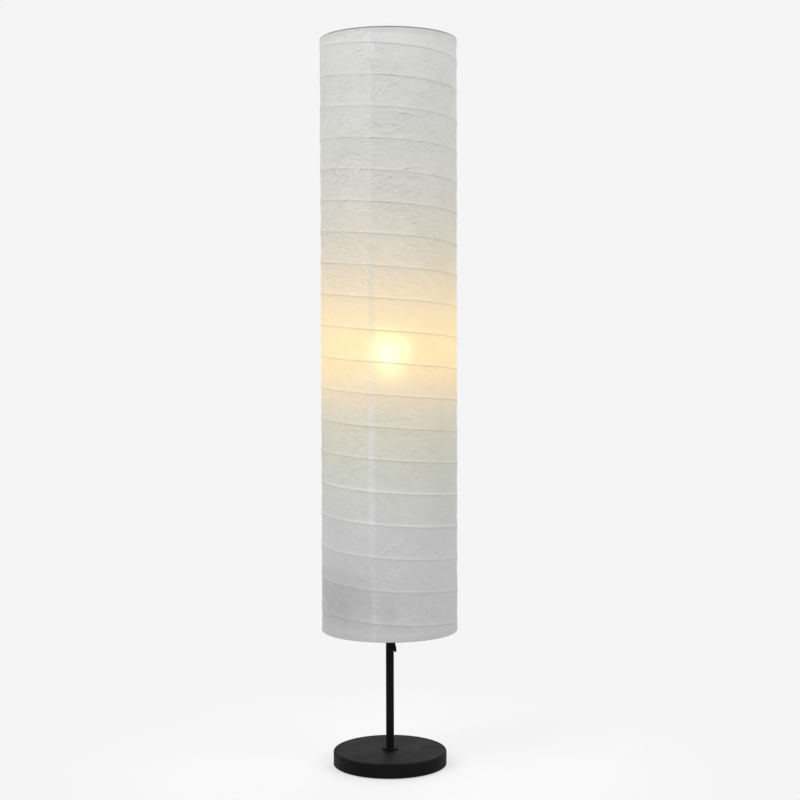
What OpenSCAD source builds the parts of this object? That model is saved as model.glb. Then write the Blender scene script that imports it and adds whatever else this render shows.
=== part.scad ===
// Floor lamp: a tall round paper column on a spiral wire rib, a bulb inside it,
// a thin tube stem and a round weighted base. Millimetres, +Z up, the floor at zero,
// the stem on the Z axis, the front of the lamp towards -Y.

/* [Base] */
// Diameter of the pressed base cover
base_d = 184; // [172:2:220]
// Height of the base's top face over the floor
base_top = 24; // [22:1:32]
// Rounding of the cover's top edge
base_edge_r = 3; // [1.6:0.2:5]
// Sheet thickness of the cover
base_wall = 1.2; // [0.8:0.1:1.5]
// Gap under the cover's rim
rim_gap = 1.5; // [1:0.25:3]
// Room between the cast weight and the cover's side
weight_gap = 9; // [7:0.5:12]
// Thickness of the bottom plate
plate_t = 1.5; // [1:0.25:2]
// Height of the rubber feet
foot_h = 7.5; // [6:0.25:8]
// Diameter of a rubber foot
foot_d = 16; // [12:1:20]
// Distance of the feet from the axis
foot_place = 70; // [62:1:70]
// Distance of the plate screws from the axis
screw_place = 60; // [50:1:66]
// Shank diameter of a plate screw
screw_d = 4; // [3:0.5:5]
// Head diameter of a plate screw
screw_head_d = 7.5; // [6.5:0.5:9]
// Head height of a plate screw
screw_head_h = 2; // [1.5:0.25:2.5]
// Length of a plate screw in the weight
screw_grip = 7; // [5:0.5:8]
// Outer diameter of the clamping washer
washer_d = 36; // [30:1:38]
// Thickness of the clamping washer
washer_t = 1.5; // [1:0.25:2]
// Width across the flats of the lock nut
nut_flats = 17; // [16:0.5:20]
// Thickness of the lock nut
nut_t = 3.6; // [3:0.2:3.8]
// Diameter of the hole through the middle of the weight
weight_hole_d = 44; // [40:1:50]

/* [Stem] */
// Outer diameter of the stem tube
stem_d = 13; // [12:0.5:14]
// Wall of the stem tube
stem_wall = 1.2; // [1:0.1:1.4]
// Height of the joint between the two stem tubes
stem_joint_z = 300; // [240:5:400]
// Length of the threaded joiner inside the tubes
joiner_len = 36; // [24:2:50]
// Wall of the threaded nipples and of the joiner
nipple_wall = 1.3; // [1:0.1:1.5]
// Length of the base nipple in the stem
nipple_grip = 16; // [10:1:24]
// Diameter of the foot collar
collar_d = 25; // [20:1:32]
// Height of the foot collar
collar_h = 3.2; // [2:0.2:6]

/* [Lead] */
// Diameter of the lead in the base and stem
lead_d = 5.4; // [4.5:0.1:5.6]
// Bend radius of the lead's centreline under the stem
lead_bend = 7; // [6:0.5:8]
// Height of the lead's centreline in the base
lead_z = 12.6; // [12.4:0.2:13]
// Flange diameter of the cord bushing
bushing_d = 13; // [11:0.5:14]
// Flange thickness of the cord bushing
bushing_t = 2; // [1.5:0.25:3]

/* [Lampholder and bulb] */
// Height of the lampholder's lower end
holder_z = 559; // [540:1:620]
// Outer diameter of the lampholder body
holder_d = 39.2; // [38:0.2:41]
// Height of the lampholder body
holder_body_h = 34; // [32:0.5:40]
// Diameter of the lampholder's shoulder
shoulder_d = 44; // [42.5:0.5:48]
// Height of the lampholder cap
cap_h = 28; // [26:0.5:34]
// Neck diameter of the lampholder cap
neck_d = 18; // [15:0.5:20]
// Diameter of the screw shell's inside
shell_d = 26.9; // [26.7:0.1:27.2]
// Height of the clamp ring
clamp_h = 8; // [5:0.5:10]
// Diameter of the clamp ring
clamp_d = 48; // [45:0.5:52]
// Diameter of the glass globe
globe_d = 60; // [50:1:80]
// Length of the bulb from its contact to the top of the globe
bulb_len = 106; // [100:1:125]
// Length of the bulb's metal cap
bulb_cap_h = 26.5; // [25:0.5:28]
// Glass thickness of the globe
glass_t = 0.9; // [0.6:0.1:1.5]

/* [Shade] */
// Height of the shade's top rim over the floor
shade_top = 1170; // [1120:5:1230]
// Height of the shade's bottom rim over the floor
shade_bottom = 220; // [214:1:240]
// Outer diameter of the paper column
shade_d = 220; // [200:2:260]
// Thickness of the paper as modelled
paper_t = 0.4; // [0.3:0.05:0.6]
// Rise of the rib wire in one turn at the top rim
rib_pitch_top = 48; // [46:0.1:58]
// Rise of the rib wire in one turn at the bottom rim
rib_pitch_bottom = 51.8; // [48:0.1:58]
// Diameter of the rib wire
rib_d = 2; // [1.4:0.1:2.4]
// Height at which the rib wire crosses the front below the top rim
rib_front_z = 1144; // [1140:0.5:1150]
// Height of the lower hem
bottom_hem_h = 10; // [8:0.5:12]
// Height of the upper hem
top_hem_h = 10; // [8:0.5:12]
// Width of the glued seam of the paper
seam_w = 10; // [6:0.5:14]
// Direction of the seam seen from above, in degrees
seam_az = 256; // [250:1:262]
// Length of the paper that folds up when the shade is lifted
fold_len = 420; // [400:5:440]

/* [Shade frame] */
// Diameter of the ring wires
ring_wire_d = 2.5; // [2:0.1:3]
// Diameter of the spider wires
spider_wire_d = 2.5; // [2:0.1:3]
// Arms of the bottom spider
bottom_arms = 4; // [4:2:6]
// Arms of the top spider
top_arms = 4; // [4:2:6]
// Inner diameter of the sliding eye
eye_bore_d = 16; // [15.6:0.2:17]
// Wall of the sliding eye
eye_wall = 1.6; // [1.2:0.1:2]
// Height of the sliding eye
eye_h = 23; // [20:0.5:26]
// How far the sliding eye's lower end lies below the bottom ring
eye_below = 21; // [18:0.5:22]
// Width of the finger tab
tab_w = 5; // [3:0.5:7]
// Head diameter of the stop rivets
rivet_d = 4; // [3:0.25:5]
// How far the stop rivets stand out of the stem
rivet_out = 2.7; // [2.3:0.1:3]
// Diameter of the harp wire
harp_d = 4; // [3:0.25:5]
// Distance of the harp's uprights from the axis
harp_place = 44; // [40:1:60]
// Bend radius of the harp's corners
harp_bend = 20; // [12:1:28]
// How far the harp's crossbar lies below the top ring
harp_drop = 22; // [20:1:60]
// Diameter of the harp's threaded stud
stud_d = 6; // [5:0.5:7]
// Height of the shoulder under the stud
boss_h = 3; // [2.5:0.25:5]
// Diameter of the shoulder under the stud
boss_d = 10; // [9:0.5:12]
// Diameter of the top spider's hub
hub_d = 24; // [20:1:30]
// Thickness of the top spider's hub
hub_t = 2; // [1.5:0.25:3]
// Diameter of the finial nut
finial_d = 12; // [10:0.5:14]
// Height of the finial nut
finial_h = 12; // [10:0.5:13]
// Thickness of the harp yoke
yoke_t = 1.5; // [1.2:0.1:2]
// Height of the sockets that hold the harp
socket_h = 14; // [10:1:24]
// Wall of the sockets
socket_wall = 1.1; // [0.8:0.1:1.5]

/* [Hidden] */
fit = 0.05; // radial clearance of a seated round piece
slip = 0.3; // clearance between pieces of different bodies
weld = 0.05; // gap where a wire end meets a ring
hem_gap = 0.35; // space between a ring and its hem
round_fn = 64;

base_r = base_d / 2;
cover_under = base_top - base_wall;
plate_z = foot_h;
weight_z = plate_z + plate_t;
inside_r = base_r - base_wall;
weight_r = inside_r - weight_gap;
plate_r = inside_r - slip;
screw_count = 3;
foot_count = 4;
washer_z = cover_under - washer_t;
nut_z = washer_z - nut_t;
stem_r = stem_d / 2;
stem_in_r = stem_r - stem_wall;
nipple_r = stem_in_r - fit;
nipple_in_r = nipple_r - nipple_wall;
lead_r = lead_d / 2;
groove_r = lead_r + 2 * slip;
inlet_r = lead_r + 1.5;
lip_r = inlet_r + 1 - fit;
lip_t = 1.2;
lip_y = sqrt(pow(inside_r, 2) - pow(bushing_d / 2, 2)) - slip - lip_t;
hex_to_round = 1 / cos(30);

cap_top = holder_z + cap_h;
body_top = cap_top + holder_body_h;
neck_h = 7;
cone_h = 9;
cap_wall = 2.5;
shoulder_h = 3;
shoulder_z = cap_top + 6;
yoke_z = shoulder_z + shoulder_h;
clamp_z = yoke_z + yoke_t;
holder_r = holder_d / 2;
shell_r = shell_d / 2;
shell_t = 0.5;
body_bore_r = shell_r + shell_t + fit;
web_t = 3;
insert_z = cap_top + web_t;
insert_t = 8;
contact_z = insert_z + insert_t;
lead_top = cap_top - 5;
cap_line_z = contact_z + bulb_cap_h;
globe_r = globe_d / 2;
globe_z = contact_z + bulb_len - globe_r;
bulb_cap_r = shell_r - 0.25;
thread_r = 0.9;
thread_rise = 3.6;

shade_r = shade_d / 2;
paper_in_r = shade_r - paper_t;
ring_r = ring_wire_d / 2;
ring_path_r = paper_in_r - hem_gap - ring_r;
bottom_ring_z = shade_bottom + paper_t + hem_gap + ring_r;
top_ring_z = shade_top - paper_t - hem_gap - ring_r;
hem_in_r = ring_path_r - ring_r - hem_gap;
fold_z = shade_bottom + bottom_hem_h;
still_z = fold_z + fold_len;
top_fold_z = shade_top - top_hem_h;
seam_angle = seam_w / (2 * PI * shade_r) * 360;

rib_r = rib_d / 2;
rib_path_r = paper_in_r - fit - rib_r;
rib_rings = 24;
rib_sides = 6;

spider_r = spider_wire_d / 2;
arm_end_r = ring_path_r - ring_r - weld;
eye_in_r = eye_bore_d / 2;
eye_out_r = eye_in_r + eye_wall;
eye_bottom = bottom_ring_z - eye_below;
rivet_r = rivet_d / 2;
rivet_z = eye_bottom - fit - rivet_r;
rivet_shank_r = 1.2;
tab_drop = 17.5; // how far the finger tab hangs below the eye
tab_lean = 1.2; // how far the tab's grip stands out past the eye

harp_r = harp_d / 2;
harp_top_z = top_ring_z - harp_drop;
socket_r = harp_r + fit + socket_wall;
socket_z = yoke_z;
harp_foot_z = socket_z + yoke_t;
yoke_bore_r = holder_r + slip;
yoke_rim_r = yoke_bore_r + 5;
yoke_arm_w = 8;
hub_z = harp_top_z + boss_h;
stud_r = stud_d / 2;
hub_bore_r = stud_r + slip;
arm_slope = atan((top_ring_z - (hub_z + hub_t / 2)) / (arm_end_r - hub_d / 2));
arm_len = (arm_end_r - hub_d / 2) / cos(arm_slope) + 0.5;

// a tube standing on the height z
module tube(outer, inner, z, height) {
    translate([0, 0, z])
        linear_extrude(height)
            difference() {
                circle(outer, $fn = round_fn);
                circle(inner, $fn = round_fn);
            }
}

// a round bar standing on the height z
module bar(radius, z, height) {
    translate([0, 0, z])
        cylinder(r = radius, h = height, $fn = round_fn);
}

// copies spread evenly round the axis
module around(count, start) {
    for (i = [0:count - 1])
        rotate([0, 0, start + i * 360 / count])
            children();
}

// half section of a disc with a rounded top edge
module edge_section(radius, top, edge) {
    square([radius - edge, top]);
    square([radius, top - edge]);
    translate([radius - edge, top - edge])
        circle(edge, $fn = round_fn);
}

// a ring of round wire
module wire_ring(path_r, wire_r, z) {
    translate([0, 0, z])
        rotate_extrude($fn = round_fn)
            translate([path_r, 0])
                circle(wire_r, $fn = round_fn);
}

module base_cover() {
    color("#1b1b1c")
        difference() {
            rotate_extrude($fn = round_fn)
                difference() {
                    intersection() {
                        edge_section(base_r, base_top, base_edge_r);
                        translate([nipple_r + fit, rim_gap])
                            square([base_r, base_top]);
                    }
                    edge_section(inside_r, cover_under, base_edge_r - base_wall);
                }
            translate([0, inside_r - base_wall, lead_z])
                rotate([-90, 0, 0])
                    cylinder(r = inlet_r, h = 3 * base_wall, $fn = round_fn);
        }
}

module base_weight() {
    color("#4a4a4c")
        difference() {
            tube(weight_r, weight_hole_d / 2, weight_z, cover_under - weight_z);
            translate([-groove_r, 0, weight_z - 1])
                cube([2 * groove_r, 2 * weight_r, lead_z + groove_r - weight_z + 1]);
            around(screw_count, 30)
                translate([screw_place, 0, 0])
                    bar(screw_d / 2 + fit, weight_z - 1, screw_grip + 2);
        }
}

module base_plate() {
    color("#2a2a2b")
        difference() {
            bar(plate_r, plate_z, plate_t);
            around(screw_count, 30)
                translate([screw_place, 0, 0])
                    bar(screw_d / 2 + fit, plate_z - 1, plate_t + 2);
            translate([-lip_r - slip, lip_y - slip, plate_z - 1])
                cube([2 * (lip_r + slip), base_r, plate_t + 2]);
        }
}

// one pan head screw with a cross recess
module plate_screw() {
    head_z = plate_z - screw_head_h;
    slot_w = 1;
    slot_depth = 1.1;
    difference() {
        union() {
            bar(screw_head_d / 2, head_z, screw_head_h);
            bar(screw_d / 2, plate_z, plate_t + screw_grip);
        }
        for (turn = [0, 90])
            rotate([0, 0, turn])
                translate([-screw_head_d / 3, -slot_w / 2, head_z - 1])
                    cube([screw_head_d * 2 / 3, slot_w, slot_depth + 1]);
    }
}

module plate_screws() {
    color("#b9bcc0")
        around(screw_count, 30)
            translate([screw_place, 0, 0])
                plate_screw();
}

module feet() {
    foot_round = 1.5;
    color("#151515")
        around(foot_count, 45)
            translate([foot_place, 0, foot_h])
                mirror([0, 0, 1])
                    rotate_extrude($fn = round_fn)
                        intersection() {
                            edge_section(foot_d / 2, foot_h, foot_round);
                            square([foot_d, foot_h]);
                        }
}

module base_washer() {
    color("#9a9da1")
        tube(washer_d / 2, nipple_r + fit, washer_z, washer_t);
}

module lock_nut() {
    hex_r = nut_flats / 2 * hex_to_round;
    color("#a8abae")
        difference() {
            translate([0, 0, nut_z])
                linear_extrude(nut_t)
                    circle(hex_r, $fn = 6);
            bar(nipple_r + fit, nut_z - 1, nut_t + 2);
        }
}

module base_nipple() {
    foot_z = nut_z - 0.6;
    color("#b58f43")
        tube(nipple_r, nipple_in_r, foot_z, base_top + nipple_grip - foot_z);
}

module cord_bushing() {
    body_r = inlet_r - fit;
    bore_r = lead_r + fit;
    color("#141414")
        translate([0, 0, lead_z])
            rotate([-90, 0, 0])
                difference() {
                    union() {
                        bar(body_r, lip_y, base_r + fit - lip_y + bushing_t / 2);
                        bar(lip_r, lip_y, lip_t);
                        bar(bushing_d / 2, base_r + fit, bushing_t);
                    }
                    bar(bore_r, lip_y - 1, base_r);
                }
}

// from the bushing in the rear wall to the foot of the stem and up into the lampholder
module lead() {
    color("#0f0f0f") {
        bar(lead_r, lead_z + lead_bend, lead_top - lead_z - lead_bend);
        translate([0, lead_bend, lead_z + lead_bend])
            rotate([-90, 0, -90])
                rotate_extrude(angle = 90, $fn = round_fn)
                    translate([lead_bend, 0])
                        circle(lead_r, $fn = round_fn);
        translate([0, lead_bend, lead_z])
            rotate([-90, 0, 0])
                cylinder(r = lead_r, h = base_r - lead_bend + bushing_t / 2, $fn = round_fn);
    }
}

module stem_collar() {
    chamfer = 0.8;
    inner = stem_r + fit;
    outer = collar_d / 2;
    color("#161617")
        translate([0, 0, base_top])
            rotate_extrude($fn = round_fn)
                polygon([[inner, 0], [outer, 0], [outer, collar_h - chamfer], [outer - chamfer, collar_h], [inner, collar_h]]);
}

module stem_lower() {
    color("#161617")
        difference() {
            tube(stem_r, stem_in_r, base_top, stem_joint_z - base_top);
            for (side = [0, 180])
                rotate([0, 0, side])
                    translate([0, 0, rivet_z])
                        rotate([-90, 0, 0])
                            cylinder(r = rivet_shank_r + fit, h = stem_d, $fn = round_fn);
        }
}

module stem_joiner() {
    color("#b58f43")
        tube(nipple_r, nipple_in_r, stem_joint_z - joiner_len / 2, joiner_len);
}

module stem_upper() {
    color("#161617")
        tube(stem_r, stem_in_r, stem_joint_z, holder_z - stem_joint_z);
}

// two rivets in the stem's front and back, on which the sliding eye rests
module stop_rivets() {
    color("#1a1a1b")
        for (side = [0, 180])
            rotate([0, 0, side])
                difference() {
                    translate([0, 0, rivet_z])
                        rotate([-90, 0, 0]) {
                            bar(rivet_r, stem_in_r, stem_r + rivet_out - stem_in_r);
                        }
                    difference() {
                        bar(stem_r + fit, rivet_z - rivet_d, 2 * rivet_d);
                        translate([0, 0, rivet_z])
                            rotate([-90, 0, 0])
                                bar(rivet_shank_r, 0, stem_d);
                    }
                }
}

module upper_nipple() {
    grip = 14;
    color("#b58f43")
        tube(nipple_r, nipple_in_r, holder_z - grip, grip + neck_h + 4);
}

module holder_cap() {
    cap_r = holder_r + 0.4;
    bore = nipple_r + fit;
    color("#18181a")
        translate([0, 0, holder_z])
            rotate_extrude($fn = round_fn)
                polygon([[bore, 0], [neck_d / 2, 0], [neck_d / 2, neck_h], [cap_r, neck_h + cone_h], [cap_r, cap_h],
                    [cap_r - cap_wall, cap_h], [cap_r - cap_wall, neck_h + cone_h + 1], [neck_d / 2 - 1, neck_h + cap_wall],
                    [bore, neck_h + cap_wall]]);
}

module holder_body() {
    wire_hole_r = 2;
    color("#18181a")
        difference() {
            union() {
                tube(holder_r, body_bore_r, cap_top, holder_body_h);
                tube(shoulder_d / 2, body_bore_r, shoulder_z, shoulder_h);
                bar(body_bore_r + 1, cap_top, web_t);
            }
            for (side = [-1, 1])
                translate([side * 8, 0, 0])
                    bar(wire_hole_r, cap_top - 1, web_t + 2);
        }
}

module holder_insert() {
    screw_r = 1.6;
    color("#e4e0d6")
        difference() {
            union() {
                bar(body_bore_r - fit, insert_z, insert_t - 3);
                bar(shell_r - 2, insert_z, insert_t - fit);
            }
            for (side = [-1, 1])
                translate([side * 8, 0, 0])
                    bar(screw_r, insert_z - 1, insert_t + 2);
        }
}

module screw_shell() {
    shell_z = insert_z + insert_t - 3;
    color("#c09a4a")
        tube(shell_r + shell_t, shell_r, shell_z, body_top - 1.5 - shell_z);
}

module clamp_ring() {
    grips = 18;
    grip_r = 1.1;
    color("#1c1c1e")
        difference() {
            tube(clamp_d / 2, holder_r + fit, clamp_z, clamp_h);
            around(grips, 0)
                translate([clamp_d / 2 + grip_r / 2, 0, 0])
                    bar(grip_r, clamp_z - 1, clamp_h + 2);
        }
}

module bulb_cap() {
    tip_r = 4.5;
    tip_h = 3;
    taper_h = 2.5;
    threads = 5;
    color("#c9ccd0") {
        bar(tip_r, contact_z, tip_h + 1);
        translate([0, 0, contact_z + tip_h])
            cylinder(r1 = tip_r + 2, r2 = bulb_cap_r - thread_r, h = taper_h, $fn = round_fn);
        bar(bulb_cap_r - thread_r, contact_z + tip_h + taper_h, bulb_cap_h - tip_h - taper_h);
        for (i = [0:threads - 1])
            wire_ring(bulb_cap_r - thread_r, thread_r, contact_z + tip_h + taper_h + 2 + i * thread_rise);
    }
}

// the globe and its neck, smaller all round by inset
module globe_form(inset, foot) {
    neck_r = bulb_cap_r - 0.6;
    cone_top = globe_z - globe_r * sin(35);
    translate([0, 0, globe_z])
        sphere(globe_r - inset, $fn = round_fn);
    translate([0, 0, cap_line_z + foot])
        cylinder(r1 = neck_r - inset, r2 = globe_r * cos(35) - inset, h = cone_top - cap_line_z - foot, $fn = round_fn);
}

module bulb_globe() {
    color("#f6efe0")
        difference() {
            globe_form(0, 0);
            globe_form(glass_t, -0.01);
        }
}

module harp_yoke() {
    color("#1d1d1f")
        difference() {
            union() {
                bar(yoke_rim_r, yoke_z, yoke_t);
                translate([-harp_place, -yoke_arm_w / 2, yoke_z])
                    cube([2 * harp_place, yoke_arm_w, yoke_t]);
                for (side = [-1, 1])
                    translate([side * harp_place, 0, 0])
                        bar(socket_r, yoke_z, socket_h);
            }
            bar(yoke_bore_r, yoke_z - 1, yoke_t + 2);
            for (side = [-1, 1])
                translate([side * harp_place, 0, 0])
                    bar(harp_r + fit, harp_foot_z, socket_h);
        }
}

// one wire bent to a tall hoop, with a shoulder and a stud on its crossbar
module harp() {
    color("#1d1d1f") {
        for (side = [-1, 1])
            translate([side * harp_place, 0, 0])
                bar(harp_r, harp_foot_z, harp_top_z - harp_bend - harp_foot_z);
        for (side = [0, 180])
            rotate([0, 0, side])
                translate([harp_place - harp_bend, 0, harp_top_z - harp_bend])
                    rotate([90, 0, 0])
                        rotate_extrude(angle = 90, $fn = round_fn)
                            translate([harp_bend, 0])
                                circle(harp_r, $fn = round_fn);
        translate([harp_bend - harp_place, 0, harp_top_z])
            rotate([0, 90, 0])
                cylinder(r = harp_r, h = 2 * (harp_place - harp_bend), $fn = round_fn);
        bar(boss_d / 2, harp_top_z - harp_r, harp_r + boss_h);
        bar(stud_r, harp_top_z, boss_h + hub_t + finial_h - 2);
    }
}

// one sloping arm of the top spider, thicker all round by extra
module top_arm(extra) {
    translate([hub_d / 2 - 0.5, 0, hub_z + hub_t / 2])
        rotate([0, 90 - arm_slope, 0])
            cylinder(r = spider_r + extra, h = arm_len + extra, $fn = round_fn);
}

module top_spider() {
    color("#2a2a2c")
        difference() {
            union() {
                bar(hub_d / 2, hub_z, hub_t);
                around(top_arms, 45)
                    top_arm(0);
            }
            bar(hub_bore_r, hub_z - 1, hub_t + 4);
        }
}

module finial() {
    dome = 2.5;
    color("#202022")
        translate([0, 0, hub_z + hub_t])
            difference() {
                rotate_extrude($fn = round_fn)
                    intersection() {
                        edge_section(finial_d / 2, finial_h, dome);
                        square([finial_d, finial_h]);
                    }
                bar(stud_r + fit, -1, finial_h - 1);
            }
}

module top_ring() {
    color("#77787a")
        wire_ring(ring_path_r, ring_r, top_ring_z);
}

// half section of a hem: outer band, fold and inner band, opening upwards
module hem_section(height, inner_height) {
    translate([paper_in_r, 0])
        square([paper_t, height]);
    translate([hem_in_r - paper_t, 0])
        square([paper_in_r - hem_in_r + paper_t, paper_t]);
    translate([hem_in_r - paper_t, 0])
        square([paper_t, inner_height]);
}

// the strip where the sheet's edge is glued over itself
module seam_strip(z, height) {
    translate([0, 0, z])
        rotate([0, 0, seam_az - seam_angle / 2])
            rotate_extrude(angle = seam_angle, $fn = round_fn)
                translate([shade_r - paper_t / 2, 0])
                    square([paper_t, height]);
}

module top_hem() {
    color("#f1efe8")
        difference() {
            translate([0, 0, shade_top])
                mirror([0, 0, 1])
                    rotate_extrude($fn = round_fn)
                        hem_section(top_hem_h, top_hem_h - 2);
            around(top_arms, 45)
                top_arm(slip);
        }
}

module bottom_hem() {
    slot_w = spider_wire_d + 2 * slip;
    color("#f1efe8")
        difference() {
            translate([0, 0, shade_bottom])
                rotate_extrude($fn = round_fn)
                    hem_section(bottom_hem_h, bottom_hem_h - 2);
            around(bottom_arms, 45)
                translate([hem_in_r - 4 * paper_t, -slot_w / 2, bottom_ring_z - slot_w / 2])
                    cube([5 * paper_t, slot_w, slot_w]);
        }
}

module paper_upper() {
    color("#f7f5ee") {
        tube(shade_r, paper_in_r, still_z, top_fold_z - still_z);
        seam_strip(still_z, top_fold_z - still_z);
    }
}

module paper_lower() {
    color("#f3f1ea") {
        tube(shade_r, paper_in_r, fold_z, fold_len);
        seam_strip(fold_z, fold_len);
    }
}

// The rib wire is one left-handed screw line: it comes down by one pitch
// while it goes once round the shade counter-clockwise, seen from above.
// Its turns open evenly from the pitch at the top rim to the one at the bottom rim.
function rib_turn(z) =
    let (drop = rib_front_z - z)
    let (opening = 1 / rib_pitch_bottom - 1 / rib_pitch_top)
    drop / rib_pitch_top + opening * pow(drop, 2) / (2 * (rib_front_z - shade_bottom));

function rib_az(z) = 270 + rib_turn(z) * 360;

function rib_point(z) = [rib_path_r * cos(rib_az(z)), rib_path_r * sin(rib_az(z)), z];

// centre points of the wire between two heights
function rib_line(low, high) =
    let (count = ceil((rib_turn(low) - rib_turn(high)) * rib_rings))
    [for (i = [0:count]) rib_point(low + (high - low) * i / count)];

// the corners of the wire's section at one centre point
function rib_corners(p) =
    let (az = atan2(p[1], p[0]))
    [for (j = [0:rib_sides - 1])
        let (turn = j * 360 / rib_sides)
        p + [rib_r * cos(turn) * cos(az), rib_r * cos(turn) * sin(az), rib_r * sin(turn)]];

// side faces of the wire, two triangles for each side of each step
function rib_sides_of(count) =
    [for (i = [0:count - 2], j = [0:rib_sides - 1], half = [0, 1])
        let (a = i * rib_sides + j)
        let (b = i * rib_sides + (j + 1) % rib_sides)
        half == 0 ? [a, a + rib_sides, b] : [b, a + rib_sides, b + rib_sides]];

// one flat end of the wire as a fan of triangles
function rib_end(first, flip) =
    [for (j = [1:rib_sides - 2])
        flip ? [first, first + j + 1, first + j] : [first, first + j, first + j + 1]];

module rib_wire(low, high) {
    line = rib_line(low, high);
    count = len(line);
    corners = [for (p = line) each rib_corners(p)];
    polyhedron(corners, concat(rib_sides_of(count), rib_end(0, false), rib_end((count - 1) * rib_sides, true)));
}

// least distance between points of the wire that are half a turn or more apart
function least_gap(line) =
    min([for (i = [0:len(line) - 1], j = [i + rib_rings / 2:1:len(line) - 1])
        norm(line[i] - line[j])]) - rib_d;

rib_low = fold_z + rib_d;
rib_high = top_fold_z - rib_d;
echo(rib_turns = rib_turn(rib_low) - rib_turn(rib_high));
echo(rib_gap_mm = least_gap(rib_line(still_z, rib_high)), rib_gap_low_mm = least_gap(rib_line(rib_low, still_z)));

module rib_upper() {
    color("#8b8c8e")
        rib_wire(still_z + fit, rib_high);
}

module rib_lower() {
    color("#828385")
        rib_wire(rib_low, still_z - fit);
}

module bottom_ring() {
    color("#77787a")
        wire_ring(ring_path_r, ring_r, bottom_ring_z);
}

module bottom_spider() {
    color("#222224")
        around(bottom_arms, 45)
            translate([0, 0, bottom_ring_z])
                rotate([0, 90, 0])
                    bar(spider_r, eye_out_r + weld, arm_end_r - eye_out_r - weld);
}

// the tube round the stem that carries the bottom spider, with a finger tab on the right
module sliding_eye() {
    near_stem = stem_r + slip;
    hollow_x = near_stem - 1;
    tab_root = eye_bottom + 6;
    tab_foot = eye_bottom - tab_drop;
    root_x = eye_in_r + 0.4;
    grip_x = eye_out_r + tab_lean;
    color("#1a1a1b") {
        tube(eye_out_r, eye_in_r, eye_bottom, eye_h);
        difference() {
            translate([0, tab_w / 2, 0])
                rotate([90, 0, 0])
                    linear_extrude(tab_w)
                        polygon([[root_x, tab_root], [eye_out_r + 0.2, tab_root], [eye_out_r + 0.2, eye_bottom - 1],
                            [near_stem + 2, eye_bottom - 4], [grip_x, tab_foot + 5], [grip_x, tab_foot + 1.5],
                            [grip_x - 0.8, tab_foot], [near_stem + 0.9, tab_foot],
                            [hollow_x, tab_foot + 3.5], [hollow_x, eye_bottom - 2], [root_x, eye_bottom - 1]]);
            bar(near_stem, tab_foot - 1, tab_drop + 2);
        }
    }
}

base_cover();
base_weight();
base_plate();
plate_screws();
feet();
base_washer();
lock_nut();
base_nipple();
cord_bushing();
lead();
stem_collar();
stem_lower();
stem_joiner();
stem_upper();
stop_rivets();
upper_nipple();
holder_cap();
holder_body();
holder_insert();
screw_shell();
clamp_ring();
bulb_cap();
bulb_globe();
harp_yoke();
harp();
top_spider();
finial();
top_ring();
top_hem();
paper_upper();
rib_upper();
paper_lower();
rib_lower();
bottom_hem();
bottom_ring();
bottom_spider();
sliding_eye();
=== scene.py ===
import math

import bpy
import numpy as np
from mathutils import Matrix, Vector, noise


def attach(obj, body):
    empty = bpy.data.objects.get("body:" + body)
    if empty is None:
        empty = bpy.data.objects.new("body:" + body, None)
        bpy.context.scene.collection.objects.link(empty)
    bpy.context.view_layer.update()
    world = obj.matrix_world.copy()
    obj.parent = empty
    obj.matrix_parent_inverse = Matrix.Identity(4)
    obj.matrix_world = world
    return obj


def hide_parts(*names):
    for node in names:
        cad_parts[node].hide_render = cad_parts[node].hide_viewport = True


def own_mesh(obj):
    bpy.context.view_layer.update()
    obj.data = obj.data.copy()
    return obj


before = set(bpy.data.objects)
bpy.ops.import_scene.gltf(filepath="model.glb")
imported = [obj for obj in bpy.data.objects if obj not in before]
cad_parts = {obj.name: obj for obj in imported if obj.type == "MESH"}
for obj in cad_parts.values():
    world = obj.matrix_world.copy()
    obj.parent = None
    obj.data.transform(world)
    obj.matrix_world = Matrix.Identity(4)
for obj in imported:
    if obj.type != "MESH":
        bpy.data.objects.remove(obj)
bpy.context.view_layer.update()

# ---------------------------------------------------------------- sizes, from part.scad
SHADE_R = 0.110
SHADE_TOP = 1.170
SHADE_BOTTOM = 0.220
STILL_Z = 0.650
FOLD_Z = 0.230
HEM_INSIDE = 0.008
PAPER_T = 0.00035
RING_PATH_R = 0.108
FOLD_R = 0.0020
RIB_PATH_R = 0.10855
RIB_R = 0.001
RIB_FRONT_Z = 1.144
RIB_PITCH_TOP = 0.048
RIB_PITCH_BOTTOM = 0.0518
RIB_LOW = 0.232
RIB_HIGH = 1.158
SEAM_AZ = 256.0
SEAM_W = 0.010
BULB_Z = 0.674

FRONT_TURN = 0.75
SEAM_TURN = SEAM_AZ / 360
GIRTH = 2 * math.pi * SHADE_R
OPENING = 1 / RIB_PITCH_BOTTOM - 1 / RIB_PITCH_TOP
RIB_SPAN = RIB_FRONT_Z - SHADE_BOTTOM


def rib_turn(z):
    """Turns that the rib wire has made from the front crossing under the top rim down to z."""
    drop = RIB_FRONT_Z - z
    return drop / RIB_PITCH_TOP + OPENING * drop**2 / (2 * RIB_SPAN)


# ---------------------------------------------------------------- meshes
SMOOTH_ANGLE = 50.0


def make_mesh(name, points, faces):
    """A mesh object from an (n, 3) array and lists of corner numbers, shaded smooth below SMOOTH_ANGLE."""
    mesh = bpy.data.meshes.new(name)
    mesh.from_pydata(points.tolist(), [], faces)
    mesh.validate()
    mesh.update()
    mesh.shade_smooth()
    mesh.set_sharp_from_angle(angle=math.radians(SMOOTH_ANGLE))
    obj = bpy.data.objects.new(name, mesh)
    bpy.context.scene.collection.objects.link(obj)
    return obj


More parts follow.
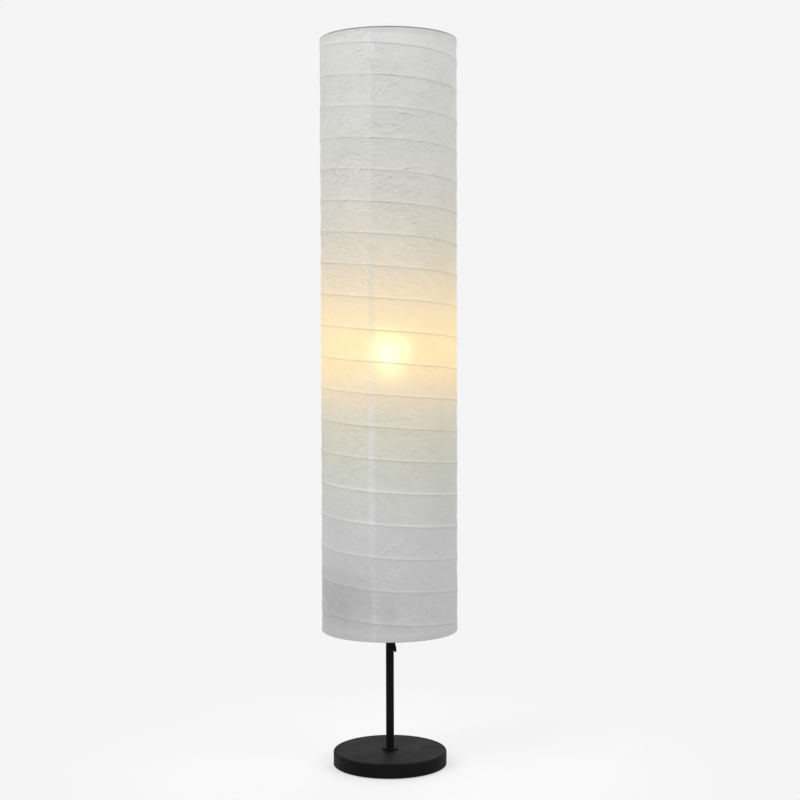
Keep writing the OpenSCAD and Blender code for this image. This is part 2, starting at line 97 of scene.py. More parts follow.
def grid_faces(rows, columns, wrap_rows=True):
    """Quads of a grid numbered row by row. Each row closes up. wrap_rows joins the last row to the first."""
    i, j = np.meshgrid(np.arange(rows if wrap_rows else rows - 1), np.arange(columns), indexing="ij")
    i, j = i.ravel(), j.ravel()
    below, beside = (i + 1) % rows, (j + 1) % columns
    return np.stack(
        [i * columns + j, i * columns + beside, below * columns + beside, below * columns + j],
        axis=1,
    )


def capped_faces(rows, columns):
    """Faces of a grid that is open at its first and last row, with a flat cap on each."""
    faces = grid_faces(rows, columns, wrap_rows=False).tolist()
    faces.append(list(range(columns))[::-1])
    faces.append([(rows - 1) * columns + k for k in range(columns)])
    return faces


def smoothstep(x, low, high):
    t = np.clip((x - low) / (high - low), 0, 1)
    return t * t * (3 - 2 * t)


# ---------------------------------------------------------------- the paper
COLUMNS = 240
ROW_STEP = 0.0020

# the tent that the paper makes over each turn of the rib
SAG = 0.0010
TENT_W = 0.0060
TENT_POWER = 1.5
WAVES_LOST_AT_RIB = 0.75

# soft waves: scale, shift of the noise, depth
SOFT_WAVES = (
    (22.0, (0, 0, 0), 0.00050),
    (60.0, (3, 7, 1), 0.00050),
)
# crease waves: twist in radians per metre, scale, shift of the noise, depth
CREASE_WAVES = (
    (7.5, 62.0, (0, 5, 0), 0.00085),
    (-6.0, 50.0, (11, 5, 2), 0.00070),
    (16.0, 95.0, (22, 5, 4), 0.00055),
)
CREASE_STRETCH = 0.35
CREASE_LEVEL = 0.35

# the glued seam stands out a little, and the rims hold the paper still
SEAM_STEP = 0.00022
SEAM_FLAT = SEAM_W / 2 - 0.0003
SEAM_FOOT = SEAM_W / 2 + 0.0012
HELD = (0.002, 0.016)


def crinkle(az, z):
    """How far the paper stands out from its mean surface through soft waves and creases, in metres."""
    p = Vector((SHADE_R * math.cos(az), SHADE_R * math.sin(az), z))
    soft = 0.0
    for scale, shift, depth in SOFT_WAVES:
        soft += noise.noise(p * scale + Vector(shift)) * depth
    creases = 0.0
    for twist, scale, shift, depth in CREASE_WAVES:
        a = az + twist * z
        q = Vector((SHADE_R * math.cos(a), SHADE_R * math.sin(a), z * CREASE_STRETCH)) * scale + Vector(shift)
        creases += (CREASE_LEVEL - abs(noise.noise(q))) * depth
    return soft + creases


def paper_offset(az, z):
    """Arrays of angle (radians) and height to how far the paper stands outside the full radius."""
    turns = rib_turn(z) - (az / (2 * math.pi) - FRONT_TURN)
    pitch = 1 / (1 / RIB_PITCH_TOP + OPENING * (RIB_FRONT_Z - z) / RIB_SPAN)
    away = np.abs(turns - np.round(turns)) * pitch
    tent = np.exp(-((away / TENT_W) ** TENT_POWER))
    places = zip(az.ravel().tolist(), z.ravel().tolist())
    waves = np.array([crinkle(a, h) for a, h in places]).reshape(az.shape)
    off_seam = np.abs((np.degrees(az) - SEAM_AZ + 180) % 360 - 180) * math.pi / 180 * SHADE_R
    seam = 1 - smoothstep(off_seam, SEAM_FLAT, SEAM_FOOT)
    held = smoothstep(SHADE_TOP - z, *HELD) * smoothstep(z - SHADE_BOTTOM, *HELD)
    return (-SAG * (1 - tent) + waves * (1 - WAVES_LOST_AT_RIB * tent)) * held + SEAM_STEP * seam


def paper_piece(name, profile):
    """A closed sheet turned round the axis. profile is a list of (radius, height, weight of the waves)."""
    profile = np.array(profile)
    az = math.radians(SEAM_AZ) + np.arange(COLUMNS) * 2 * math.pi / COLUMNS
    unique_z, back = np.unique(profile[:, 1], return_inverse=True)
    offset = paper_offset(*np.meshgrid(az, unique_z))[back]
    radius = profile[:, 0:1] + offset * profile[:, 2:3]
    z = np.repeat(profile[:, 1:2], COLUMNS, axis=1)
    points = np.stack([radius * np.cos(az), radius * np.sin(az), z], axis=2).reshape(-1, 3)
    faces = grid_faces(len(profile), COLUMNS)
    obj = make_mesh(name, points, faces.tolist())

    # UV layer: turns past the seam and height at rest, which the material reads
    mesh = obj.data
    corner_vertex = np.zeros(len(mesh.loops), int)
    mesh.loops.foreach_get("vertex_index", corner_vertex)
    turn = (corner_vertex % COLUMNS) / COLUMNS
    last = np.repeat(faces[:, 0] % COLUMNS == COLUMNS - 1, 4)
    turn = np.where(last & (turn == 0), 1.0, turn)
    height = points[corner_vertex, 2]
    uv = mesh.uv_layers.new(name="paper")
    uv.data.foreach_set("uv", np.stack([turn, height], axis=1).astype(np.float32).ravel())
    return obj


def straight(radius, low, high):
    count = max(2, round(abs(high - low) / ROW_STEP) + 1)
    return [(radius, z, 1.0) for z in np.linspace(low, high, count)]


def arc(centre_z, radius, start, end, count):
    """A bend round the middle of a ring wire, from one angle to another in degrees."""
    return [
        (RING_PATH_R + radius * math.cos(a), centre_z + radius * math.sin(a), 1.0)
        for a in np.linspace(math.radians(start), math.radians(end), count)
    ]


INNER_R = SHADE_R - PAPER_T
FOLD_IN_R = FOLD_R - PAPER_T
TOP_FOLD = SHADE_TOP - FOLD_R
BOTTOM_FOLD = SHADE_BOTTOM + FOLD_R

# the hem inside the ring: radii of its faces, a height from the rim, and the bend over the ring in degrees
HEM_FACE_R = RING_PATH_R - FOLD_R
HEM_BACK_R = RING_PATH_R - FOLD_IN_R
HEM_MIDDLE = 0.005
BEND_FROM, BEND_TO = 15, 180
OUTER_ROWS, INNER_ROWS = 9, 7

paper_upper = paper_piece(
    "paper_upper_sheet",
    straight(SHADE_R, STILL_Z, TOP_FOLD)
    + arc(TOP_FOLD, FOLD_R, BEND_FROM, BEND_TO, OUTER_ROWS)
    + [(HEM_FACE_R, SHADE_TOP - HEM_MIDDLE, 0.0), (HEM_FACE_R, SHADE_TOP - HEM_INSIDE, 0.0)]
    + [(HEM_BACK_R, SHADE_TOP - HEM_INSIDE, 0.0), (HEM_BACK_R, SHADE_TOP - HEM_MIDDLE, 0.0)]
    + arc(TOP_FOLD, FOLD_IN_R, BEND_TO, BEND_FROM, INNER_ROWS)
    + straight(INNER_R, TOP_FOLD, STILL_Z),
)
paper_lower = paper_piece(
    "paper_lower_sheet",
    straight(SHADE_R, FOLD_Z, STILL_Z) + straight(INNER_R, STILL_Z, FOLD_Z),
)
bottom_hem = paper_piece(
    "bottom_hem_paper",
    straight(INNER_R, FOLD_Z, BOTTOM_FOLD)
    + arc(BOTTOM_FOLD, FOLD_IN_R, -BEND_FROM, -BEND_TO, INNER_ROWS)
    + [(HEM_BACK_R, SHADE_BOTTOM + HEM_MIDDLE, 0.0), (HEM_BACK_R, SHADE_BOTTOM + HEM_INSIDE, 0.0)]
    + [(HEM_FACE_R, SHADE_BOTTOM + HEM_INSIDE, 0.0), (HEM_FACE_R, SHADE_BOTTOM + HEM_MIDDLE, 0.0)]
    + arc(BOTTOM_FOLD, FOLD_R, -BEND_TO, -BEND_FROM, OUTER_ROWS)
    + straight(SHADE_R, BOTTOM_FOLD, FOLD_Z),
)


# ---------------------------------------------------------------- the bulb's core and the rib wire
CORE_R = 0.0165
CORE_Z = 0.669
CORE_COLUMNS = 40
CORE_ROWS = 16
CORE_DOME = (-66, 84)
CORE_STALK = ((0.0060, 0.6245), (0.0042, 0.634), (0.0042, 0.648), (0.0052, 0.6555))

RIB_STEPS_PER_TURN = 64
RIB_SIDES = 10
RIB_GAP = 0.0001


def turned_piece(name, profile):
    """A closed solid turned round the axis from a list of (radius, height), from its foot to its top."""
    profile = np.array(profile)
    az = np.arange(CORE_COLUMNS) * 2 * math.pi / CORE_COLUMNS
    r, z = profile[:, 0:1], profile[:, 1:2]
    points = np.stack([r * np.cos(az), r * np.sin(az), np.repeat(z, CORE_COLUMNS, axis=1)], axis=2)
    return make_mesh(name, points.reshape(-1, 3), capped_faces(len(profile), CORE_COLUMNS))


def rib_piece(name, low, high):
    """A round wire on the screw line between two heights, with its two ends closed."""
    count = round((rib_turn(low) - rib_turn(high)) * RIB_STEPS_PER_TURN)
    z = np.linspace(low, high, count + 1)
    az = np.radians(360 * FRONT_TURN + 360 * rib_turn(z))
    around = np.arange(RIB_SIDES) * 2 * math.pi / RIB_SIDES
    r = RIB_PATH_R + RIB_R * np.cos(around)[None, :]
    points = np.stack(
        [
            r * np.cos(az)[:, None],
            r * np.sin(az)[:, None],
            z[:, None] + RIB_R * np.sin(around)[None, :],
        ],
        axis=2,
    )
    return make_mesh(name, points.reshape(-1, 3), capped_faces(count + 1, RIB_SIDES))


core_dome = [
    (CORE_R * math.cos(a), CORE_Z + CORE_R * math.sin(a))
    for a in np.radians(np.linspace(*CORE_DOME, CORE_ROWS))
]
bulb_core = turned_piece("bulb_core", [*CORE_STALK, *core_dome])
rib_upper = rib_piece("rib_wire_upper", STILL_Z + RIB_GAP, RIB_HIGH)
rib_lower = rib_piece("rib_wire_lower", RIB_LOW, STILL_Z - RIB_GAP)


# ---------------------------------------------------------------- node trees
class Nodes:
    """Builds a node tree step by step. A value may be a number, a colour or another node's output."""

    def __init__(self, tree, output):
        self.tree = tree
        self.tree.nodes.clear()
        self.out = self.tree.nodes.new(output)

    def node(self, kind, values=None, **settings):
        n = self.tree.nodes.new(kind)
        for key, value in settings.items():
            setattr(n, key, value)
        for key, value in (values or {}).items():
            self.put(n.inputs[key], value)
        return n

    def put(self, socket, value):
        if isinstance(value, bpy.types.NodeSocket):
            self.tree.links.new(value, socket)
        elif hasattr(value, "__len__") and len(value) == 3 and socket.type == "RGBA":
            socket.default_value = (*value, 1.0)
        else:
            socket.default_value = value

    def math(self, operation, a, b=0.0, c=0.0):
        return self.node("ShaderNodeMath", {0: a, 1: b, 2: c}, operation=operation).outputs[0]

    def times(self, first, *others):
        for value in others:
            first = self.math("MULTIPLY", first, value)
        return first

    def weighted(self, a, share_a, b, share_b):
        return self.math("ADD", self.times(a, share_a), self.times(b, share_b))

    def bell(self, squares):
        """1 where the squares are 0, falling off softly."""
        return self.math("EXPONENT", self.times(squares, -1.0))

    def with_marks(self, base, marks):
        """base, made stronger or weaker by a share of itself wherever a mark is 1."""
        for mark, share in marks:
            base = self.times(base, self.math("MULTIPLY_ADD", mark, share, 1.0))
        return base

    def mix(self, share, a, b, blend="MIX"):
        n = self.node("ShaderNodeMix", data_type="RGBA", blend_type=blend)
        for index, value in ((0, share), (6, a), (7, b)):
            self.put(n.inputs[index], value)
        return n.outputs[2]

    def colour(self, red, green, blue):
        return self.node("ShaderNodeCombineColor", {0: red, 1: green, 2: blue}).outputs[0]

    def where(self):
        return self.node("ShaderNodeTexCoord").outputs["Object"]

    def split(self, vector):
        return self.node("ShaderNodeSeparateXYZ", {0: vector}).outputs

    def scaled(self, vector, x, y, z):
        n = self.node("ShaderNodeMapping", {"Vector": vector})
        n.inputs["Scale"].default_value = (x, y, z)
        return n.outputs[0]

    def slanted(self, vector, angle, along, across, middle=(0, 0)):
        """Flat coordinates turned by an angle about a middle and counted in lengths along and across it."""
        n = self.node("ShaderNodeMapping", {"Vector": vector}, vector_type="TEXTURE")
        n.inputs["Location"].default_value = (*middle, 0)
        n.inputs["Rotation"].default_value = (0, 0, angle)
        n.inputs["Scale"].default_value = (along, across, 1)
        return n.outputs[0]

    def noise(self, vector, scale, detail=3.0, rough=0.5, twist=0.0, kind="FBM"):
        n = self.node(
            "ShaderNodeTexNoise",
            {"Vector": vector, "Scale": scale, "Detail": detail, "Roughness": rough, "Distortion": twist},
            noise_type=kind,
        )
        return n.outputs[0]

    def spread(self, value, low, high, to_low, to_high, soft=False):
        n = self.node(
            "ShaderNodeMapRange",
            {"Value": value, "From Min": low, "From Max": high, "To Min": to_low, "To Max": to_high},
            interpolation_type="SMOOTHSTEP" if soft else "LINEAR",
        )
        return n.outputs[0]

    def bump(self, height, distance, strength=1.0, normal=None):
        n = self.node("ShaderNodeBump", {"Height": height, "Distance": distance, "Strength": strength})
        if normal is not None:
            self.put(n.inputs["Normal"], normal)
        return n.outputs[0]

    def show(self, shader):
        self.tree.links.new(shader.outputs[0], self.out.inputs["Surface"])

    def show_mixed(self, share, a, b):
        self.show(self.node("ShaderNodeMixShader", {0: share, 1: a.outputs[0], 2: b.outputs[0]}))

    def surface(self, **values):
        n = self.node("ShaderNodeBsdfPrincipled")
        for key, value in values.items():
            self.put(n.inputs[key.replace("_", " ")], value)
        self.show(n)
        return n

    def seen_as_background(self):
        """1 where the camera sees it, in a gloss or through the paper too, and 0 for light on the lamp."""
        path = self.node("ShaderNodeLightPath").outputs
        others = self.math("MAXIMUM", path["Is Glossy Ray"], path["Is Transmission Ray"])
        return self.math("MAXIMUM", path["Is Camera Ray"], others)


class Shader(Nodes):
    """A new material."""

    def __init__(self, name):
        self.material = bpy.data.materials.new(name)
        self.material.use_nodes = True
        super().__init__(self.material.node_tree, "ShaderNodeOutputMaterial")


# the values between which a plain and a ridged noise mostly stay
NOISE_SPAN = (0.3, 0.7)
RIDGE_SPAN = (0.2, 1.6)

# ---------------------------------------------------------------- the paper's material
# the painted glow: emission painted on the paper by height over the bulb
GLOW_REACH = 0.100
GLOW_FALL_UP = 1.30
GLOW_FALL_DOWN = 2.2

# the rib wire's dark line, partly painted shade, and its pale edge under it, a painted highlight: height over
# the wire, half width
WIRE_LINE = (0.0003, 0.0010)
LIT_EDGE = (-0.0021, 0.0014)

# what changes with height: from, to, value at from, value at to
LOW_HALF = (0.44, 0.56, 1.0, 0.0)
LIT_LOW = (0.33, 0.43, 0.2, 1.0)
LIT_TOP_HIGH = (0.84, 0.96, 0.0, 0.80)
CALM_LOW = (0.36, 0.72, 0.40, 1.0)
# painted shade, darker towards the foot, and painted light, brighter towards the top
DIM_FOOT = (0.25, 0.36, 0.94, 1.0)
BRIGHT_TOP = (0.70, SHADE_TOP, 1.0, 1.08)
SIDE_LIGHT_HIGH = (0.82, 0.98, 0.4, 1.0)
SEAM_LOW = (0.58, 0.72, 1.0, 0.25)
SEAM_FOOT_FADE = (0.34, 0.42, 0.4, 1.0)
TOP_EDGE = (SHADE_TOP - 0.0029, SHADE_TOP - 0.0017, 0.0, 1.0)
LOW_EDGE = (SHADE_BOTTOM + 0.0024, SHADE_BOTTOM + 0.0014, 0.0, 1.0)
FAINT_LOW = 0.95
FAINT_LESS_RIGHT = -0.60
PALE_MORE_LOW = 2.6

# what changes with the turns past the seam, in the same order
LEFT_SIDE = (0.50, 0.85, 0.0, 1.0)
RIGHT_FROM = (0.03, 0.14, 0.0, 1.0)
RIGHT_TO = (0.30, 0.60, 1.0, 0.0)
# painted light left of the seam and painted shade right of it
LIT_LEFT_SIDE = (0.91, 0.965, 0.0, 0.03)
SHADED_RIGHT_SIDE = (0.03, 0.12, -0.024, 0.0)
SEAM_EDGE = (SEAM_W / 2 / GIRTH, (SEAM_W / 2 + 0.0006) / GIRTH, 1.0, 0.0)

# the same for the cosine of the angle from the middle of the seam's side
SEAM_SIDE_TURN = 0.005
SEAM_SIDE = (0.4, 1.0, 0.0, 1.0)

# the same for noises
CREASED_PLACES = (0.40, 0.60, 0.40, 1.0)
STROKE_TONE = (0.35, 0.65, 0.975, 1.025)
SHADE_PATCH_CLOUDS = (0.35, 0.6, 0.5, 1.0)
STROKES_LOST_IN_GLOW = 0.85

# soft spots: middle and half width in turns, middle and half width in height
ALL_ROUND = (1.2, 9.0)
# painted light on the seam's side of the shade, below the bulb
PAINTED_MID_LIGHT = (*ALL_ROUND, 0.475, 0.095)
# a painted band of warm light all round the shade, under the bulb
PAINTED_WARM_BAND = (*ALL_ROUND, 0.520, 0.078)
CREASED_SPOT = (0.835, 0.065, 1.065, 0.055)
# painted highlights: two short bright marks on the seam near the top
GLINTS = ((0.7165, 0.0030, 1.137, 0.007), (0.7125, 0.0022, 1.1225, 0.0022))
# a painted shade patch, cloudy, low on the front left, with a small one at the front
SHADE_PATCH = (1.61, 0.12, 0.280, 0.050)
SHADE_PATCH_SMALL = (0.750, 0.020, 0.266, 0.022)
SHADE_PATCH_SMALL_SHARE = 0.35

# fine strokes across the paper: angle, length, width
RISING = (0.45, 0.030, 0.0095)
FALLING = (-0.15, 0.036, 0.0105)

# the paper's colour away from the bulb, its colour in the painted warm light near the bulb, and the red and
# green of the painted glow
COOL_GREY = (0.630, 0.624, 0.640)
WARM_LIT_GREY = (0.630, 0.630, 0.556)
WARM_POWER = 0.8
WARM_BAND_SHARE = 0.55
WARM_BAND_LESS_SEAM = -0.40
GLOW_RED = 0.560
GLOW_RED_LESS_NEAR = -0.265
GLOW_GREEN = 0.176
GLOW_GREEN_POWER = 0.6

# creases in the paper: place round the shade in turns, height, slope in degrees, length
CREASES = (
    (0.752, 0.365, 28, 0.058),
    (0.812, 0.475, 30, 0.022),
    (0.800, 0.415, 62, 0.036),
    (0.715, 1.072, 66, 0.022),
    (0.721, 1.069, 62, 0.025),
    (0.728, 1.071, 58, 0.024),
    (0.735, 1.068, 54, 0.020),
    (0.758, 1.082, 30, 0.028),
    (0.851, 1.082, 38, 0.034),
    (0.826, 1.112, -20, 0.040),
    (0.845, 1.122, 24, 0.030),
    (0.790, 1.038, -8, 0.046),
    (0.612, 0.952, -34, 0.036),
    (0.640, 0.905, 36, 0.030),
    (0.800, 0.955, 12, 0.040),
    (0.868, 0.950, 55, 0.026),
    (0.690, 0.800, -40, 0.030),
    (0.120, 1.020, 32, 0.050),
    (0.180, 0.520, -24, 0.044),
    (0.260, 0.880, 48, 0.036),
    (0.330, 0.380, 18, 0.054),
    (0.400, 1.060, -36, 0.040),
    (0.480, 0.560, 40, 0.032),
    (0.040, 0.330, -50, 0.036),
)
# their half width, how far the clouds bend them, how their ends fade and what is left of them low down
CREASE_W = 0.0015
CREASE_BEND = 3.5
CREASE_TIPS = (0.4, 1.0, 1.0, 0.0)
CREASE_LEAST = 0.75


class Paper(Shader):
    """The shade's material. Places on it are told by turns round the shade and by height at rest."""

    def __init__(self):
        super().__init__("mulberry_paper")
        uv = self.node("ShaderNodeUVMap", uv_map="paper").outputs[0]
        self.past_seam, self.height, _ = self.split(uv)
        self.turn = self.math("ADD", self.past_seam, SEAM_TURN)
        self.flat = self.scaled(uv, GIRTH, 1, 1)
        self.over_rib = self.from_rib()

    def from_rib(self):
        """Height over the nearest turn of the rib wire."""
        drop = self.math("SUBTRACT", RIB_FRONT_Z, self.height)
        straight_part = self.times(drop, 1 / RIB_PITCH_TOP)
        turns = self.math("MULTIPLY_ADD", self.times(drop, drop), OPENING / (2 * RIB_SPAN), straight_part)
        phase = self.math("SUBTRACT", turns, self.math("SUBTRACT", self.turn, FRONT_TURN))
        part = self.math("SUBTRACT", self.math("FRACT", self.math("ADD", phase, 0.5)), 0.5)
        return self.times(part, (RIB_PITCH_TOP + RIB_PITCH_BOTTOM) / 2)

    def by_height(self, *values):
        return self.spread(self.height, *values, soft=True)

    def by_turn(self, *values):
        return self.spread(self.past_seam, *values, soft=True)

    def line(self, centre, width):
        x = self.math("DIVIDE", self.math("SUBTRACT", self.over_rib, centre), width)
        return self.bell(self.times(x, x))

    def patch(self, turn_at, turn_w, z_at, z_w):
        a = self.math("DIVIDE", self.math("SUBTRACT", self.turn, turn_at), turn_w)
        b = self.math("DIVIDE", self.math("SUBTRACT", self.height, z_at), z_w)
        return self.bell(self.math("MULTIPLY_ADD", a, a, self.times(b, b)))

    def painted_bulb_glow(self):
        """Painted glow: 1 level with the bulb's middle, falling off upwards and faster downwards."""
        rise = self.math("SUBTRACT", self.height, BULB_Z)
        ratio = self.math("DIVIDE", rise, GLOW_REACH)
        above = self.math("GREATER_THAN", rise, 0.0)
        power = self.math("MULTIPLY_ADD", above, GLOW_FALL_DOWN - GLOW_FALL_UP, -GLOW_FALL_DOWN)
        return self.math("POWER", self.math("MULTIPLY_ADD", ratio, ratio, 1.0), power)

    def rib_marks(self, wire, lit_edge):
        """The wire's dark line, the wire seen through the paper with painted shade, faint low down and at the
        lit top left; its pale edge, a painted highlight, strong low down.
        """
        low_half = self.by_height(*LOW_HALF)
        right_side = self.times(self.by_turn(*RIGHT_FROM), self.spread(self.past_seam, *RIGHT_TO))
        # the line's painted shade is fainter at the top left, where the light falls
        lit_top_left = self.times(self.by_turn(*LEFT_SIDE), self.by_height(*LIT_TOP_HIGH))
        faint = self.times(low_half, self.math("MULTIPLY_ADD", right_side, FAINT_LESS_RIGHT, FAINT_LOW))
        dark_share = self.math("SUBTRACT", self.math("SUBTRACT", 1.0, faint), lit_top_left)
        lit_low = self.times(low_half, self.by_height(*LIT_LOW))
        pale_share = self.math("MULTIPLY_ADD", lit_low, PALE_MORE_LOW, 1.0)
        return self.times(wire, dark_share), self.times(lit_edge, pale_share)

    def crease_marks(self, clouds, calm):
        """All creases as a height for the bump, and as light on one side and shade on the other."""
        height, light = 0.0, 0.0
        for crease_turn, crease_z, slope, length in CREASES:
            middle = (((crease_turn - SEAM_TURN) % 1.0) * GIRTH, crease_z)
            x, y, _ = self.split(self.slanted(self.flat, math.radians(slope), length / 2, CREASE_W, middle))
            bent = self.math("MULTIPLY_ADD", self.math("SUBTRACT", clouds, 0.5), CREASE_BEND, y)
            across = self.bell(self.times(bent, bent))
            along = self.spread(self.math("ABSOLUTE", x), *CREASE_TIPS, soft=True)
            ridge = self.times(across, along, self.math("MAXIMUM", calm, CREASE_LEAST))
            height = self.math("ADD", ridge, height)
            light = self.math("MULTIPLY_ADD", ridge, bent, light)
        return height, light


def paper_material():
    s = Paper()
    at = s.where()
    painted_glow = s.painted_bulb_glow()
    calm = s.by_height(*CALM_LOW)

    clouds = s.noise(at, scale=28.0, detail=5.0, rough=0.62, twist=0.4)
    fibres = s.noise(s.scaled(at, 1, 1, 2.6), scale=210.0, detail=4.0, rough=0.7, twist=1.6)
    specks = s.noise(at, scale=700.0, detail=2.0, rough=0.6)
    folds = s.noise(s.scaled(at, 1, 1, 0.55), scale=34.0, rough=0.6, twist=1.2, kind="RIDGED_MULTIFRACTAL")
    density = s.weighted(clouds, 0.6, fibres, 0.4)

    rising = s.noise(s.slanted(s.flat, *RISING), scale=1.0, rough=0.6, twist=1.2)
    falling = s.noise(s.slanted(s.flat, *FALLING), scale=1.0, rough=0.6, twist=1.2)
    strokes = s.times(s.math("ADD", rising, falling), 0.5)
    where_creased = s.spread(s.noise(at, scale=14.0, detail=2.0), *CREASED_PLACES, soft=True)
    where_creased = s.math("MAXIMUM", where_creased, s.patch(*CREASED_SPOT))
    unlit = s.math("MULTIPLY_ADD", painted_glow, -STROKES_LOST_IN_GLOW, STROKES_LOST_IN_GLOW)
    where_creased = s.times(where_creased, unlit, calm)
    creases, crease_light = s.crease_marks(clouds, calm)

    wire = s.line(*WIRE_LINE)
    lit_edge = s.line(*LIT_EDGE)
    dark_line, pale_line = s.rib_marks(wire, lit_edge)
    seam_turn = s.math("MINIMUM", s.past_seam, s.math("SUBTRACT", 1.0, s.past_seam))
    seam = s.spread(seam_turn, *SEAM_EDGE)
    seam_line = s.times(seam, s.by_height(*SEAM_LOW), s.by_height(*SEAM_FOOT_FADE))
    # painted light, strongest on the seam's side
    around = s.math("COSINE", s.math("MULTIPLY_ADD", s.past_seam, math.tau, SEAM_SIDE_TURN * math.tau))
    painted_mid_light = s.times(s.patch(*PAINTED_MID_LIGHT), s.spread(around, *SEAM_SIDE))
    glints = s.math("ADD", s.patch(*GLINTS[0]), s.patch(*GLINTS[1]))
    # painted shade low on the front left
    painted_shade_patch = s.times(s.patch(*SHADE_PATCH), s.spread(clouds, *SHADE_PATCH_CLOUDS))
    painted_shade_patch = s.math("MULTIPLY_ADD", s.patch(*SHADE_PATCH_SMALL), SHADE_PATCH_SMALL_SHARE, painted_shade_patch)
    # painted light and shade by side, stronger high up
    painted_side_light = s.math("ADD", s.by_turn(*LIT_LEFT_SIDE), s.by_turn(*SHADED_RIGHT_SIDE))
    painted_side_light = s.times(painted_side_light, s.by_height(*SIDE_LIGHT_HIGH))

    # the paper's own colour, with painted light and shade laid over it
    tone = s.times(
        s.spread(density, *NOISE_SPAN, 0.965, 1.03),
        s.by_height(*DIM_FOOT),
        s.by_height(*BRIGHT_TOP),
        s.spread(strokes, *STROKE_TONE),
        s.math("ADD", painted_side_light, 1.0),
    )
    tone = s.with_marks(
        tone,
        (
            (dark_line, -0.13),
            (pale_line, 0.05),
            (crease_light, 0.075),
            (painted_mid_light, 0.055),
            (seam_line, 0.075),
            (glints, 0.17),
            (s.spread(s.height, *TOP_EDGE), -0.62),
            (s.spread(s.height, *LOW_EDGE), 0.05),
            (painted_shade_patch, -0.23),
        ),
    )
    # darker along the folds: partly the paper's thickness, partly painted shade in the creases
    tone = s.times(tone, s.spread(folds, *RIDGE_SPAN, 1.012, 0.972))
    # painted warm light: the grey turns warm near the bulb and in a band under it, less on the seam
    painted_warmth_share = s.math("MULTIPLY_ADD", seam, WARM_BAND_LESS_SEAM, WARM_BAND_SHARE)
    painted_warmth = s.times(s.patch(*PAINTED_WARM_BAND), painted_warmth_share)
    painted_warmth = s.math("MAXIMUM", painted_warmth, s.math("POWER", painted_glow, WARM_POWER))
    grey = s.mix(painted_warmth, COOL_GREY, WARM_LIT_GREY)
    grey = s.mix(1.0, grey, s.colour(tone, tone, tone), "MULTIPLY")

    # the glow of the lit paper, painted as emission by height over the bulb, with the rib wire's painted
    # shadow in it
    through = s.spread(density, *NOISE_SPAN, 1.05, 0.95)
    through = s.with_marks(through, ((wire, -0.24), (seam, -0.25), (lit_edge, 0.06)))
    through = s.times(through, s.spread(folds, *RIDGE_SPAN, 1.03, 0.94))
    red = s.times(s.times(painted_glow, through), s.math("MULTIPLY_ADD", painted_glow, GLOW_RED_LESS_NEAR, GLOW_RED))
    green = s.times(s.math("POWER", painted_glow, GLOW_GREEN_POWER), through, GLOW_GREEN)

    normal = s.bump(s.weighted(fibres, 0.7, specks, 0.3), 0.0005)
    for height, distance, strength in (
        (wire, 0.0004, 1.0),
        (strokes, 0.0075, where_creased),
        (creases, 0.0007, 1.0),
        (folds, 0.0010, 0.7),
    ):
        normal = s.bump(height, distance, strength, normal)
    s.surface(
        Base_Color=grey,
        Roughness=0.46,
        Specular_IOR_Level=0.1,
        Transmission_Weight=0.25,
        IOR=1.3,
        Emission_Color=s.colour(red, green, 0.0),
        Emission_Strength=1.0,
        Normal=normal,
    )
    return s.material


paper = paper_material()
for sheet in (paper_upper, paper_lower, bottom_hem):
    sheet.data.materials.append(paper)


# ---------------------------------------------------------------- the lit bulb
# the globe glows less towards its neck, and the core's stalk hardly glows
GLOBE_COLD = (0.5, 0.30, 0.05)
GLOBE_LIT = (1.0, 0.92, 0.12)
GLOBE_POWER = 9.5
GLOBE_CLEAR = 0.75
GLOBE_NECK = 0.05

CORE_LIT = (0.46, 0.60, 1.0)
CORE_POWER = 190.0
CORE_NECK = (0.652, 0.664, 0.02, 1.0)


def bulb_material():
    s = Shader("opal_bulb_glass")
    at = s.where()
    haze = s.noise(at, scale=60.0)
    lit = s.spread(s.split(at)[2], BULB_Z - GLOBE_NECK, BULB_Z, 0.35, 1.0)
    lit = s.times(lit, s.spread(haze, *NOISE_SPAN, 0.94, 1.0))
    glass = s.surface(
        Base_Color=s.mix(haze, (0.84, 0.80, 0.72), (0.90, 0.87, 0.80)),
        Roughness=s.spread(haze, *NOISE_SPAN, 0.30, 0.42),
        Emission_Color=s.mix(lit, GLOBE_COLD, GLOBE_LIT),
        Emission_Strength=GLOBE_POWER,
        Normal=s.bump(haze, 0.0001),
    )
    s.show_mixed(GLOBE_CLEAR, glass, s.node("ShaderNodeBsdfTransparent", {"Color": (1, 1, 1)}))
    return s.material


def core_material():
    s = Shader("bulb_core_light")
    at = s.where()
    grain = s.noise(at, scale=500.0)
    lit = s.spread(s.split(at)[2], *CORE_NECK, soft=True)
    lit = s.times(lit, s.spread(grain, *NOISE_SPAN, 0.9, 1.0))
    s.surface(
        Base_Color=s.mix(grain, (0.80, 0.76, 0.66), (0.86, 0.83, 0.74)),
        Roughness=s.spread(grain, *NOISE_SPAN, 0.35, 0.5),
        Emission_Color=s.mix(lit, (0.0, 0.0, 0.0), CORE_LIT),
        Emission_Strength=CORE_POWER,
        Normal=s.bump(grain, 0.00005),
    )
    return s.material


bulb_core.data.materials.append(core_material())
bulb_glass = bulb_material()
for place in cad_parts["bulb_globe"].material_slots:
    place.material = bulb_glass


# ---------------------------------------------------------------- the other finishes
BLOTCH = 30.0
CLOUD_SHARE, GRAIN_SHARE = 0.6, 0.4


